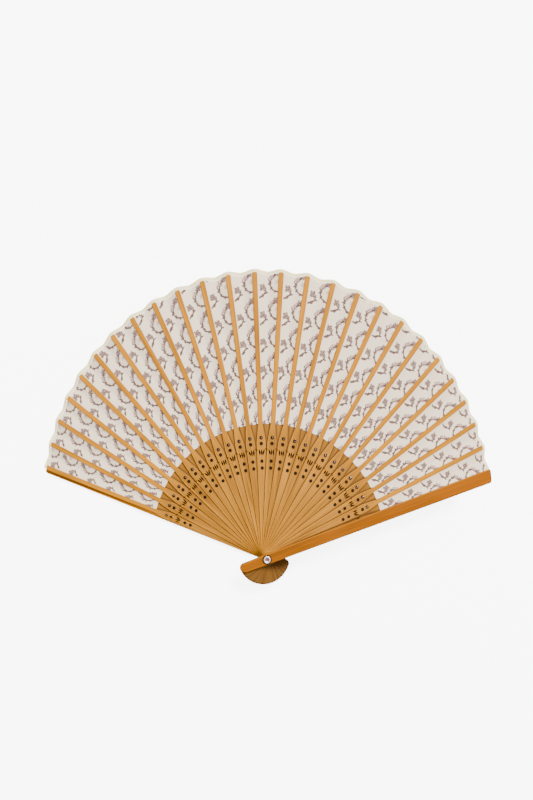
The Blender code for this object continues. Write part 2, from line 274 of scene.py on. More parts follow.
class FanStage(bpy.types.PropertyGroup):
    """Floor and light."""

    floor: colour_setting("Floor", "Plain pale floor", 250, 250, 249)
    glow: number_setting("Floor glow", "Light that the floor gives off by itself", 6.2)
    key_power: number_setting("Key light", "Power of the large soft lamp", 105.0, unit="POWER")
    sky_power: number_setting("Surround", "Strength of the even light all round", 1.1)


# Flat meshes: blocks of points whose quads face up


def paired(x, y):
    """Points from their two numbers, for the whole grid that they span."""
    return np.stack(np.broadcast_arrays(x, y), axis=-1)


def cells(index):
    """Quads of a grid of point numbers, facing up where rows climb +Y and columns run to +X."""
    return np.stack([index[:-1, :-1], index[:-1, 1:], index[1:, 1:], index[1:, :-1]], axis=-1).reshape(-1, 4)


def joined(blocks):
    """One flat mesh from grids of points: points in the same place become one. Returns points and quads."""
    points, quads, count = [], [], 0
    for block in blocks:
        rows, columns = block.shape[:2]
        points.append(block.reshape(-1, 2))
        quads.append(cells(count + np.arange(rows * columns).reshape(rows, columns)))
        count += rows * columns
    points, quads = np.concatenate(points), np.concatenate(quads)
    keys = np.floor(points / MERGE + MERGE_SHIFT).astype(np.int64)
    first, inverse = np.unique(keys, axis=0, return_index=True, return_inverse=True)[1:]
    return points[first], inverse.ravel()[quads]


def butt_blocks(half, centre, bore_cell, half_width, steps=6):
    """A stick's butt up to the end of its bore's cell. It starts as half a disc below y = centre: at depth t
    a point goes from (half s, centre), s evenly from -1 to 1, to (half sin 90s, centre - half cos 90s)."""
    depth = np.linspace(1, 0, steps + 1)[:, None]
    turn = EVEN * math.pi / 2
    disc = paired(half * ((1 - depth) * EVEN + depth * np.sin(turn)), centre - half * depth * np.cos(turn))
    return [disc, plain_block(np.linspace(centre, -bore_cell, 6), half_width),
            hole_block(-bore_cell, bore_cell, half_width, BORE_RADIUS, 0)]


def plain_block(stations, half_width):
    """A stretch without holes: row by row x = half_width(y) s, with s evenly from -1 to 1."""
    y = stations[:, None]
    return paired(half_width(y) * EVEN, y)


def frame_loop(left_x, right_x, low, high, across, up):
    """A cell's closed edge, anticlockwise from its lower left corner: across steps along its ends, up along
    its sides, whose places left_x and right_x give for a height."""
    run = np.linspace(0, 1, across + 1)[:-1]
    climb = low + (high - low) * np.linspace(0, 1, up + 1)[:-1]
    fall = high + low - climb
    return np.concatenate([paired(left_x(low) + (right_x(low) - left_x(low)) * run, low),
                           paired(right_x(climb), climb),
                           paired(right_x(high) + (left_x(high) - right_x(high)) * run, high),
                           paired(left_x(fall), fall)])


def hole_turns(across, up):
    """Angles round a hole that face the points of frame_loop: each side of the cell has a quarter turn."""
    sides = zip((-135, -45, 45, 135), (across, up, across, up))
    return np.radians(np.concatenate([start + 90 * np.arange(steps) / steps for start, steps in sides]))


def ring_block(edge, hole, shares=(1, 0.62, 0.3, 0.1, 0)):
    """Rings from a cell's edge to the hole in it: edge times share plus hole times the rest."""
    outer, inner = (np.concatenate([loop, loop[:1]])[None] for loop in (edge, hole))
    share = np.array(shares, float)[:, None, None]
    return outer * share + inner * (1 - share)


def pointed_slot(x, y, length, width, lean, turns):
    """Points of a pointed slot that leans clockwise: before the lean, across = width/2 cos a |cos a| and
    along = length/2 sin a."""
    across = width / 2 * np.cos(turns) * np.abs(np.cos(turns))
    along = length / 2 * np.sin(turns)
    return paired(x + across * math.cos(lean) + along * math.sin(lean),
                  y - across * math.sin(lean) + along * math.cos(lean))


def hole_block(low, high, half_width, radius, centre, low_marks=EVEN, high_marks=EVEN):
    """A cell over the whole width with one round hole: (radius cos a, centre + radius sin a). Its ends take
    the marks of the stretches beside it."""
    turns = hole_turns(ACROSS, ACROSS)
    edge = frame_loop(lambda y: -half_width(y), half_width, low, high, ACROSS, ACROSS)
    edge[:ACROSS, 0] = low_marks[:-1] * half_width(low)
    edge[2 * ACROSS:3 * ACROSS, 0] = high_marks[:0:-1] * half_width(high)
    return ring_block(edge, paired(radius * np.cos(turns), centre + radius * np.sin(turns)))


def sprig_blocks(low, high, half_width, rng):
    """Three cells side by side, each with a pointed slot, cut a little differently on every slip. Returns the
    blocks and the marks of both ends."""
    third = ACROSS // 3
    up = 8
    near, far = SPRIG_PARTINGS

    def parting(y):
        return near + (far - near) * (y - low) / (high - low)

    sides = (lambda y: -half_width(y), lambda y: -parting(y), parting, half_width)
    turns = hole_turns(third, up)
    blocks = []
    for column in range(3):
        place = column - 1
        sway = SLOT_SWAY * (1 if place else MIDDLE_SWAY_SHARE)
        length = SPRIG_LENGTH * (SIDE_SLOT_SHARE if place else 1) * rng.uniform(SHORTEST_SLOT_SHARE, 1)
        lean = place * SIDE_LEAN + rng.uniform(-sway, sway)
        edge = frame_loop(sides[column], sides[column + 1], low, high, third, up)
        slot = pointed_slot(place * SIDE_SLOT_PLACE, SPRIG_PLACE, length, SLOT_WIDTH, lean, turns)
        blocks.append(ring_block(edge, slot))
    ends = []
    for y in (low, high):
        inner = parting(y) / half_width(y)
        ends.append(np.interp(np.arange(ACROSS + 1) / third, np.arange(4), [-1, -inner, inner, 1]))
    return blocks, *ends


def rim_of(quads):
    """The directed edges that only one quad has; they run with the material on their left."""
    ends = np.concatenate([quads[:, [i, (i + 1) % 4]] for i in range(4)])
    ends = ends[ends[:, 0] != ends[:, 1]]
    span = int(quads.max()) + 1
    return ends[~np.isin(ends[:, 0] * span + ends[:, 1], ends[:, 1] * span + ends[:, 0])]


def inward(points, rim):
    """For every rim point, the step into the material that keeps the same distance from both of its edges:
    the sum of their left normals over half its squared length."""
    run = points[rim[:, 1]] - points[rim[:, 0]]
    normal = paired(-run[:, 1], run[:, 0]) / np.linalg.norm(run, axis=1, keepdims=True)
    total = np.zeros_like(points)
    np.add.at(total, rim[:, 0], normal)
    np.add.at(total, rim[:, 1], normal)
    squared = (total ** 2).sum(axis=1, keepdims=True)
    return np.where(squared > 0, total / np.maximum(squared / 2, 0.5), 0)


def slab(points, quads, foot, top, foot_edge, top_edge, steps=2):
    """A solid between two heights over a flat mesh. foot and top are the heights at its points, foot_edge and
    top_edge the radii that its rims are rounded by: at angle a of the quarter circle a rim point lies
    edge (1 - cos a) inwards and edge (1 - sin a) below the top. Returns verts, faces and the flat places."""
    rim = rim_of(quads)
    step = inward(points, rim)
    used = np.unique(rim)
    slot = np.full(len(points), -1)
    slot[used] = np.arange(len(used))
    angles = np.radians(np.linspace(90, 0, steps + 1))
    levels = [np.column_stack([points + step * top_edge[:, None], top])]
    for face, edge, side, turns in ((top, top_edge, -1, angles[1:]), (foot, foot_edge, 1, angles[:0:-1])):
        for angle in turns:
            flat = points[used] + step[used] * (edge[used] * (1 - math.cos(angle)))[:, None]
            levels.append(np.column_stack([flat, face[used] + side * edge[used] * (1 - math.sin(angle))]))
    levels.append(np.column_stack([points + step * foot_edge[:, None], foot]))
    sizes = np.cumsum([0] + [len(level) for level in levels])
    loops = [rim] + [slot[rim] + size for size in sizes[1:-2]] + [rim + sizes[-2]]
    walls = [np.stack([above[:, 0], below[:, 0], below[:, 1], above[:, 1]], axis=-1)
             for above, below in zip(loops, loops[1:])]
    faces = np.concatenate([quads] + walls + [quads[:, ::-1] + sizes[-2]])
    flat_map = np.concatenate([points] + [points[used]] * (len(levels) - 2) + [points])
    return np.concatenate(levels), faces, flat_map


def add_piece(name, verts, quads, maps=(), marks=(), sharp=math.radians(50)):
    """A new object at the origin. A quad that names a point twice becomes a triangle. maps are named UV
    layers and marks named numbers, both point by point."""
    repeated = quads == np.roll(quads, -1, axis=1)
    whole = quads[~repeated.any(axis=1)]
    narrow = repeated.sum(axis=1) == 1
    threes = quads[narrow][~repeated[narrow]].reshape(-1, 3)
    mesh = bpy.data.meshes.new(name)
    mesh.from_pydata(verts.tolist(), [], whole.tolist() + threes.tolist())
    corners = np.zeros(len(mesh.loops), np.int32)
    mesh.loops.foreach_get("vertex_index", corners)
    for layer, values in maps:
        mesh.uv_layers.new(name=layer).data.foreach_set("uv", values[corners].astype(np.float32).ravel())
    for layer, values in marks:
        mesh.attributes.new(layer, "FLOAT", "POINT").data.foreach_set("value", values.astype(np.float32))
    mesh.shade_smooth()
    mesh.set_sharp_from_angle(angle=sharp)
    mesh.update()
    piece = bpy.data.objects.new(name, mesh)
    bpy.context.scene.collection.objects.link(piece)
    return piece


def turned(verts, angle):
    """Points turned clockwise about the pivot."""
    x, y, z = verts.T
    return np.column_stack([x * math.cos(angle) + y * math.sin(angle),
                            y * math.cos(angle) - x * math.sin(angle), z])


def dress(piece, material, node, slot):
    """Gives a piece its material and hides the frame's solid that it stands for."""
    piece.data.materials.append(material)
    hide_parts(node)


def rounded_end(halves, radius, tip, corner):
    """Half widths drawn in by a quarter circle at each corner of the tip."""
    past = np.clip(radius - (tip - corner), 0, corner)
    return halves - (corner - np.sqrt(corner ** 2 - past ** 2))


# The fan's own measures


def front_angle(unit):
    """Angle of a front slip; unit counts from 0 and may be a fraction."""
    return -OPENING / 2 + (unit - GUARD_LAG_SHARE) * PITCH


def back_foot(unit):
    """Height of a back slip's lower face."""
    return SLIPS_FOOT + unit * UNIT_RISE


def rise(radius):
    """How far a mountain fold lies above, or a valley fold below, its own level."""
    return np.maximum(radius - BEND_RADIUS, 0) * RISE_SLOPE


def body_name(unit):
    """The body that a unit's slips ride on."""
    if unit == 0:
        return "held_side"
    return f"unit_{unit + 1:02d}" if unit < UNITS else "front_side"


# Materials


def arithmetic(operation, swapped=False):
    """A method of Level that adds a Math node."""
    def method(level, other):
        return level.finish.math(operation, *((other, level) if swapped else (level, other)))

    return method


class Level:
    """A number that changes over a surface: a node's output. Arithmetic on it adds Math nodes."""

    def __init__(self, finish, socket):
        self.finish, self.socket = finish, socket

    __add__ = __radd__ = arithmetic("ADD")
    __sub__ = arithmetic("SUBTRACT")
    __rsub__ = arithmetic("SUBTRACT", swapped=True)
    __mul__ = __rmul__ = arithmetic("MULTIPLY")
    __truediv__ = arithmetic("DIVIDE")
    least = arithmetic("MINIMUM")
    most = arithmetic("MAXIMUM")

    def __abs__(self):
        return self.finish.math("ABSOLUTE", self)

    def step(self, low, high):
        """0 below low, 1 above high and a smooth step between them; low may be the larger."""
        sockets = {"Value": self, "From Min": low, "From Max": high}
        return self.finish.add("ShaderNodeMapRange", {"interpolation_type": "SMOOTHSTEP"}, sockets)


class Finish:
    """A material as it is made: a Principled shader, the nodes before it and its colour so far."""

    def __init__(self, name, **constants):
        self.material = bpy.data.materials.new(name)
        self.material.use_nodes = True
        self.tree = self.material.node_tree
        self.shader = self.tree.nodes["Principled BSDF"]
        self.colour = None
        for socket, value in constants.items():
            self.feed(socket.replace("_", " "), value)

    def feed(self, name, value):
        """Gives a value or a link to one of the shader's own sockets."""
        self.join(self.shader.inputs[name], value)

    def join(self, socket, value):
        """Links a socket to a Level, or sets it."""
        if isinstance(value, Level):
            self.tree.links.new(value.socket, socket)
        else:
            socket.default_value = value

    def add(self, kind, settings, sockets, output=0):
        """A node of any kind, with its settings and the values or links of its sockets."""
        node = self.tree.nodes.new(kind)
        for setting, value in settings.items():
            setattr(node, setting, value)
        for socket, value in sockets.items():
            self.join(node.inputs[socket], value)
        return Level(self, node.outputs[output])

    def math(self, operation, *values):
        """A Math node."""
        return self.add("ShaderNodeMath", {"operation": operation}, dict(enumerate(values)))

    def uv(self, layer):
        """The two numbers of a UV map, in millimetres on the piece's own surface."""
        place = self.add("ShaderNodeUVMap", {"uv_map": layer}, {})
        return tuple(self.add("ShaderNodeSeparateXYZ", {}, {0: place}, axis) for axis in (0, 1))

    def mark(self, layer):
        """A number that the mesh carries point by point."""
        return self.add("ShaderNodeAttribute", {"attribute_name": layer}, {}, "Fac")

    def noise(self, place, waves, detail=2.0, roughness=0.5, layer=0.0):
        """Soft noise from 0 to 1 at a place of two or three numbers, each times its waves."""
        axes = [axis * times for axis, times in zip(place, waves)] + [layer]
        point = self.add("ShaderNodeCombineXYZ", {}, dict(enumerate(axes[:3])))
        return self.add("ShaderNodeTexNoise", {}, {"Vector": point, "Scale": 1.0, "Detail": detail,
                                                   "Roughness": roughness})

    def mix(self, share, first, second):
        """A colour from the first to the second, each a node's or three levels."""
        first, second = (side if isinstance(side, Level) else opaque(side) for side in (first, second))
        return self.add("ShaderNodeMix", {"data_type": "RGBA"}, {0: share, 6: first, 7: second}, 2)

    def lay(self, share, colour):
        """Lays a share of a colour over the one so far."""
        self.colour = self.mix(share, self.colour, colour)

    def relief(self, height, distance):
        """Raises the surface by a height from 0 to 1 times a distance."""
        normal = self.add("ShaderNodeBump", {}, {"Height": height, "Distance": distance, "Strength": 1.0})
        self.feed("Normal", normal)

    def painted(self):
        """The material, when its colour is whole."""
        self.feed("Base Color", self.colour)
        return self.material


def away(dx, dy):
    """The length of a step: the root of dx squared plus dy squared."""
    return dx.finish.math("SQRT", dx * dx + dy * dy)


def opaque(colour):
    """A colour with its alpha."""
    return (*colour, 1.0)


def lighter(colour, times):
    """A colour made lighter, or darker by a number below 1."""
    return [min(level * times, 1) for level in colour]


def bamboo(name, body, over_leaf, roughness, coat=0.0, strength=1.0):
    """Bamboo: long fibres, fine pores, broad streaks and slow changes of tone from slip to slip, on a ground
    that goes from the body's colour to the one over the leaf. Returns the finish and the radius."""
    finish = Finish(name, Roughness=roughness, Specular_IOR_Level=0.03, Coat_Weight=coat,
                    Coat_Roughness=0.35)
    place = finish.uv("length")
    fibres = finish.noise(place, FIBRE_WAVES, 4.0, 0.6)
    fine = finish.noise(place, FINE_WAVES)
    streaks = finish.noise(place, STREAK_WAVES, 3.0, 0.55)
    dark = fibres.step(0.45, 0.7) * 0.35 + fine.step(0.5, 0.8) * 0.15 + streaks.step(0.46, 0.66) * 0.45
    light = finish.noise(place, TONE_WAVES).step(0.4, 0.65) * 0.4 + streaks.step(0.48, 0.34) * 0.4
    outer = place[1].step(90.0, 106.0)
    finish.colour = finish.mix(outer, body, over_leaf)
    finish.lay(dark * strength * (1.0 - outer * 0.35), bpy.context.scene.fan_bamboo.grain_and_shade)
    finish.lay(light * strength, finish.mix(outer, lighter(body, 1.45), lighter(over_leaf, 1.3)))
    finish.relief(fibres * 0.7 + fine * 0.3, 0.02 * MM)
    return finish, place[1]


class FAN_OT_slips(bpy.types.Operator):
    """Cuts the pierced front slips and the plain back ones and gives them their bamboo"""

    bl_idname = "fan.slips"
    bl_label = "Slips"

    def execute(self, context):
        rng = np.random.default_rng(SPRIG_SEED)
        front_finish = slip_finish("front_slip_bamboo", True)
        back_finish = slip_finish("back_slip_bamboo_shaded", False)
        for unit in range(UNITS):
            number = f"{unit + 1:02d}"
            level = back_foot(unit)
            back = add_slip(f"back_slip_{number}", front_angle(unit + BACK_LAG_SHARE), level, unit, None, -1)
            front = add_slip(f"front_slip_{number}", front_angle(unit), level + LAYER, unit, rng, 1)
            for piece, finish, side in ((front, front_finish, "front"), (back, back_finish, "back")):
                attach(piece, body_name(unit))
                dress(piece, finish, f"{side}_rib_{number}", f"{side}_bamboo")
        return {"FINISHED"}


def slip_half_width(shoulder_width, shoulder, neck):
    """The half width of a slip for a radius: level over the butt, then straight to the shoulder, the neck and
    the tip, whose corners are quarter circles."""
    places = np.array([SLIP_BUTT, shoulder, neck, STRIP_TIP])
    halves = np.array([SLIP_WIDTH, shoulder_width, STRIP_WIDTH, STRIP_WIDTH]) / 2
    return lambda radius: rounded_end(np.interp(radius, places, halves), radius, STRIP_TIP, STRIP_CORNER)


def add_slip(name, angle, foot, unit, rng, side):
    """One slip. A front slip (side 1) is pierced and climbs over the leaf, a back slip (side -1) sinks."""
    form = FRONT_FORM if side > 0 else BACK_FORM
    half_width = slip_half_width(*form)
    first, second, third, fourth = HOLE_PLACES
    blocks = [*butt_blocks(SLIP_WIDTH / 2, SLIP_BUTT, BORE_CELL, half_width),
              plain_block(np.linspace(BORE_CELL, PIERCED_START, 14), half_width)]
    if side > 0:
        sprig, low, high = sprig_blocks(*SPRIG_CELL, half_width, rng)
        lower, upper = (first + second) / 2, (third + fourth) / 2
        blocks += sprig
        for *ends, place, low_marks, high_marks in (
                (PIERCED_START, lower, first, EVEN, EVEN), (lower, SPRIG_CELL[0], second, EVEN, low),
                (SPRIG_CELL[1], upper, third, high, EVEN), (upper, PIERCED_END, fourth, EVEN, EVEN)):
            blocks.append(hole_block(*ends, half_width, HOLE_RADIUS, place, low_marks, high_marks))
    else:
        blocks.append(plain_block(np.linspace(PIERCED_START, PIERCED_END, 9), half_width))
    bends = [PIERCED_END, BEND_RADIUS] + [place for place in form[1:] if place > PIERCED_END]
    strip = np.linspace(BACK_FORM[2], STRIP_TIP - STRIP_CORNER, 24)
    corner = STRIP_TIP - STRIP_CORNER * (1 - np.sin(np.radians([30, 60, 90])))
    blocks.append(plain_block(np.unique(np.concatenate([bends, strip, corner])), half_width))
    points, quads = joined(blocks)
    settings = bpy.context.scene.fan_bamboo
    off_sides = np.abs(points[:, 0]) < half_width(points[:, 1]) - 10 * MERGE
    inside = off_sides & (points[:, 1] > SLIP_BUTT) & (points[:, 1] < STRIP_TIP - MERGE)
    edge = np.where(inside, settings.hole_edge, settings.edge)
    low_face = foot + side * rise(points[:, 1])
    verts, faces, flat = slab(points, quads, low_face, low_face + SLIP_THICK, edge, edge)
    rim = np.unique(rim_of(quads))
    cut = np.linalg.norm(flat[:, None] - points[rim[off_sides[rim]]], axis=2).min(axis=1)
    neighbours = (1,) if side > 0 else (-BACK_LAG_SHARE, BACK_LAG_SHARE)
    beside = np.min([beside_gap(flat, share * PITCH) for share in neighbours], axis=0)
    marks = [("to_hole", cut / MM), ("beside", beside / MM),
             ("upper", (np.arange(len(verts)) < len(points)) * 1.0)]
    return add_stick(name, angle, verts, faces, flat, half_width, SLIP_SHIFT * (2 * unit + (side < 0)), marks)


def add_stick(name, angle, verts, faces, flat, half_width, shift, marks=()):
    """A slip or guard, turned to its angle. Its map is its flat place in millimetres, moved aside by shift so
    that no two have the same fibres; it carries the distances from its middle line and from its edge."""
    edge_gap = half_width(flat[:, 1]) - np.abs(flat[:, 0])
    return add_piece(name, turned(verts, angle), faces, [("length", flat / MM + np.array([shift, 0]))],
                     [("across", flat[:, 0] / MM), ("to_edge", edge_gap / MM), *marks])


def beside_gap(flat, turn):
    """How far points of a slip lie outside the front slip turned clockwise from it by an angle: in that
    slip's frame, the distance from its middle line less its half width."""
    across = flat[:, 0] * math.cos(turn) - flat[:, 1] * math.sin(turn)
    along = flat[:, 0] * math.sin(turn) + flat[:, 1] * math.cos(turn)
    return np.abs(across) - slip_half_width(*FRONT_FORM)(along)


def slip_finish(name, front):
    """Bamboo of the slips. The front ones are charred round their holes, specked at their edges, chipped pale
    beside the sprig's slots and given a painted highlight along the left edge. The back ones are darkened all
    over by painted shade and spotted on top where the front holes let the hot tip through: char with painted
    shade seen through the holes, and a painted pale glint under the outermost. Painted shade lies beside each
    neighbour, with a painted shadow line at its edge, and over the butts."""
    colours = bpy.context.scene.fan_bamboo
    finish, y = bamboo(name, colours.body, colours.strip if front else colours.body, 0.5, strength=1.25)
    across, edge = finish.mark("across"), finish.mark("to_edge")
    upper = finish.mark("upper").step(0.5, 0.9)

    def spot(x, place, reach, soft):
        """1 within reach of a point of the slip, fading out over soft; all in millimetres."""
        return away(across - x, y - place).step(reach + soft, reach)

    def below(place, reach, soft, shift=(0.0, 0.0)):
        """Spots at a place of the two front slips beside a back one."""
        aside = place / MM * math.sin(PITCH * BACK_LAG_SHARE)
        return sum(spot(x + shift[0], place / MM + shift[1], reach, soft) for x in (-aside, aside))

    if front:
        cut = finish.mark("to_hole")
        body = y.step(104.0, 96.0)
        # Painted highlight along the front slip's left edge on the pierced body
        finish.lay(edge.step(0.75, 0.25) * across.step(-0.5, -1.0) * body * 0.5, lighter(colours.strip, 1.5))
        at_sprig = y.step(77.4, 78.0) * y.step(84.9, 84.3)
        char_and_shade = (cut - at_sprig * 0.07).step(0.22, 0.04) * y.step(60.0, 66.0)
        for place in EDGE_SPECKS:
            char_and_shade = char_and_shade + spot(*place, 0.4, 0.35) * upper * 0.8
        chipped = cut.step(0.5, 0.3) * across.step(1.6, -0.6) * at_sprig
        finish.lay(chipped * 0.6, lighter(colours.strip, 1.7))
        finish.lay(edge.step(0.55, 0.15) * (1.0 - body) * 0.35, colours.grain_and_shade)
    else:
        # Painted shade: the back slips darkened all over, as they lie lower between the front slips
        finish.lay(0.3, colours.grain_and_shade)
        # Dark spots where the open fan's front holes and sprig slots show the back slip: char with painted
        # shade seen through them. The small spot by the sprig is a char speck.
        char_and_shade = spot(0.4, 82.6, 0.35, 0.3) + below(SPRIG_PLACE, 2.9, 0.6)
        for place in HOLE_PLACES:
            char_and_shade = char_and_shade + below(place, HOLE_RADIUS / MM + 0.4, 0.5)
        char_and_shade = char_and_shade * upper
    share = finish.mark("beside") / (abs(y) * 0.0145 + 0.12)
    painted_shade_reach = share.step(-0.7, -0.1) * y.step(112.0, 100.0) * abs(y).step(3.0, 16.0)
    butt = y.step(2.0, -8.0)
    # Painted shade on the slip beside the edges of the slips that lie over it
    finish.lay(share.step(1.3, 0.1) * painted_shade_reach * 0.85, colours.shade)
    # Painted shade over the butts under the front guard, and a little over the whole slip
    finish.lay(butt * 0.62 + 0.06, colours.shade)
    # A narrow painted shadow line right at the edge of each overlying slip, in the char colour
    finish.lay(share.step(0.36, 0.05) * painted_shade_reach * y.step(100.0, 60.0) * (butt * 0.2 + 0.6), colours.char_and_shadow)
    finish.lay(char_and_shade.least(1.0), colours.char_and_shadow)
    if not front:
        # Painted pale glint under the outermost front holes, where light shows through between the back slips
        finish.lay(below(HOLE_PLACES[-1], 0.15, 0.6, (0.25, 0.1)) * upper * 0.65, colours.hole_glint)
    return finish.painted()


class FAN_OT_leaf(bpy.types.Operator):
    """Hangs the pleated cloth between the slips and binds its outer edge"""

    bl_idname = "fan.leaf"
    bl_label = "Leaf and binding"

    def execute(self, context):
        cloth = cloth_finish()
        tape = tape_finish()
        for unit in range(UNITS):
            number = f"{unit + 1:02d}"
            angles = fold_angles(unit)
            panel, width, area = add_panel(f"leaf_panel_{number}", unit, angles)
            binding = add_tape(f"edge_tape_{number}", unit, angles)
            centre = front_angle(unit + 0.75)
            for piece, *clothing in ((panel, cloth, "leaf", "leaf_cloth"),
                                     (binding, tape, "edge_binding", "binding_tape")):
                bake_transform(piece)
                dress(piece, *clothing)
        return {"FINISHED"}


def fold_angles(unit):
    """Angles across one unit's leaf: from its front slip down to the valley and up to the next. The first
    unit starts a little before its slip and the last ends a little past the front guard's edge."""
    half = np.linspace(0, 0.5, FOLD_COLUMNS + 1)
    shares = np.concatenate([half, half[1:] + 0.5])
    angles = front_angle(unit) + PITCH * shares
    if unit == 0:
        angles = np.concatenate([[angles[0] - START_LAND], angles])
    if unit == UNITS - 1:
        angles = np.concatenate([angles, angles[-1] + END_LAND * np.linspace(0, 1, 5)[1:]])
    return angles


def leaf_middle(unit, angles, radii):
    """Points of the leaf's middle surface, row by row outwards. The height goes from level + rise on a
    mountain to level - rise in the valley and up to the next level + rise, by the share of the angle between
    the folds, drawn towards a smooth step so that the folds are soft."""
    levels = [back_foot(place) + SLIP_THICK + LEAF_THICK / 2 + LEAF_CLEARANCE for place in (unit, unit + 1)]
    turn = np.clip((angles - front_angle(unit)) / PITCH, 0, 1)[None, :] * 2
    climb = rise(radii)[:, None]
    share = np.where(turn < 1, turn, turn - 1)
    share = share + FOLD_SOFT_SHARE * (share * share * (3 - 2 * share) - share)
    down = levels[0] + climb - 2 * climb * share
    up = levels[0] - climb + (levels[1] - levels[0] + 2 * climb) * share
    height = np.where(turn < 1, down, up)
    height = np.where(turn >= 2, levels[1] + climb, height)
    flat = paired(radii[:, None] * np.sin(angles), radii[:, None] * np.cos(angles))
    return np.concatenate([flat, height[..., None]], axis=-1)


def print_row(radius, angle):
    """How far a point of the leaf lies beyond the print's middle row, in millimetres: t (1 + spread t) for a
    distance t. The row sags towards the guards by a smooth step of the angle."""
    share = np.clip(np.abs(angle) / (OPENING / 2 * PRINT_SAG_SHARE), 0, 1)
    sag = np.where(angle < 0, *PRINT_SAGS) * share * share * (3 - 2 * share)
    beyond = radius * MM - PRINT_CREST + sag
    return beyond * (1 + PRINT_SPREAD * beyond) / MM


def add_panel(name, unit, angles):
    """One unit's cloth: its middle surface raised and lowered by half the thickness, closed round the rim.
    Returns the piece, its width along the outer edge and its area."""
    radii = np.unique(np.concatenate([np.linspace(LEAF_INNER, LEAF_OUTER, LEAF_ROWS), [BEND_RADIUS]]))
    middle = leaf_middle(unit, angles, radii)
    rows, columns = middle.shape[:2]
    half = np.array([0, 0, LEAF_THICK / 2])
    count = rows * columns
    quads = cells(np.arange(count).reshape(rows, columns))
    rim = rim_of(quads)
    wall = np.stack([rim[:, 0], rim[:, 0] + count, rim[:, 1] + count, rim[:, 1]], axis=-1)
    radius, angle = np.meshgrid(radii / MM, angles, indexing="ij")
    from_left = paired(radius * (angle - front_angle(unit)), radius)
    from_right = paired(radius * (front_angle(unit + 1) - angle), print_row(radius, angle))
    maps = [(name, np.tile(place.reshape(-1, 2), (2, 1)))
            for name, place in (("from_left", from_left), ("from_right", from_right))]
    turn = np.full(2 * count, front_angle(unit + 0.5) / (OPENING / 2))
    piece = add_piece(name, np.concatenate([middle + half, middle - half]).reshape(-1, 3),
                      np.concatenate([quads, wall, quads[:, ::-1] + count]), maps,
                      [("front", np.repeat([1.0, 0.0], count)), ("turn", turn)])
    out, across = np.diff(middle, axis=0), np.diff(middle, axis=1)
    corners = np.cross(out[:, :-1], across[:-1]), np.cross(out[:, 1:], across[1:])
    area = sum(np.linalg.norm(corner, axis=-1).sum() for corner in corners) / 2
    width = np.linalg.norm(np.diff(middle[-1], axis=0), axis=-1).sum()
    return piece, float(width), float(area)


def add_tape(name, unit, angles):
    """One unit's binding: a flattened oval along the leaf's outer edge. At its angle a, radius = middle +
    half width cos a and height = leaf + half thickness sin a, squared off by a power."""
    turns = np.linspace(0, 2 * math.pi, TAPE_SIDES * 2 + 1)[:-1]
    out, lift = (np.sign(part) * np.abs(part) ** 0.6 for part in (np.cos(turns), np.sin(turns)))
    half = (TAPE_OUTER - TAPE_INNER) / 2
    middle = leaf_middle(unit, angles, TAPE_INNER + half + half * out)
    level = leaf_middle(unit, angles, np.full(len(turns), LEAF_OUTER))[..., 2]
    middle[..., 2] = level + TAPE_THICK / 2 * lift[:, None] * 0.98
    rows, columns = middle.shape[:2]
    index = np.arange(rows * columns).reshape(rows, columns)
    quads = [cells(np.concatenate([index, index[:1]]))[:, [0, 3, 2, 1]]]
    for column, order in ((0, [1, 0, 2, 3]), (columns - 1, [0, 1, 2, 3])):
        loop = index[:, column]
        first = np.full(rows - 3, loop[0])
        quads.append(np.stack([loop[1:-2], loop[2:-1], first, first], axis=-1)[:, order])
    along = (angles - front_angle(unit)) * TAPE_OUTER / MM
    place = paired(along, np.arange(rows)[:, None] * 0.2).reshape(-1, 2)
    return add_piece(name, middle.reshape(-1, 3), np.concatenate(quads), [("along", place)])


def segment(p, q, start, end, width):
    """A stroke of the print: 1 within width of the line from start to end. The nearest point of the line is
    start plus the clamped share of the way to end."""
    run = (end[0] - start[0], end[1] - start[1])
    squared = run[0] ** 2 + run[1] ** 2
    dx, dy = p - start[0], q - start[1]
    share = ((dx * run[0] + dy * run[1]) / squared).most(0.0).least(1.0)
    return away(dx - share * run[0], dy - share * run[1]).step(width + 0.12, width - 0.12)


def arc_stroke(p, q, centre, radius, width):
    """A quarter circle of the print: 1 within width of the circle, on the right of and below its centre."""
    dx, dy = p - centre[0], q - centre[1]
    off = abs(away(dx, dy) - radius)
    return off.step(width + 0.14, width - 0.14) * (dx.step(-0.9, -0.4) * dy.step(0.5, 0.0))


def petals(p, q, centre, radius, count, depth):
    """A blossom of the print: 1 where the distance to its centre is below radius (1 + depth cos(count a)).
    Returns the distance too."""
    dx, dy = p - centre[0], q - centre[1]
    distance = away(dx, dy)
    lobe = p.finish.math("COSINE", p.finish.math("ARCTAN2", dy, dx) * float(count)) * depth + 1.0
    return (distance / lobe).step(radius + 0.25, radius - 0.25), distance


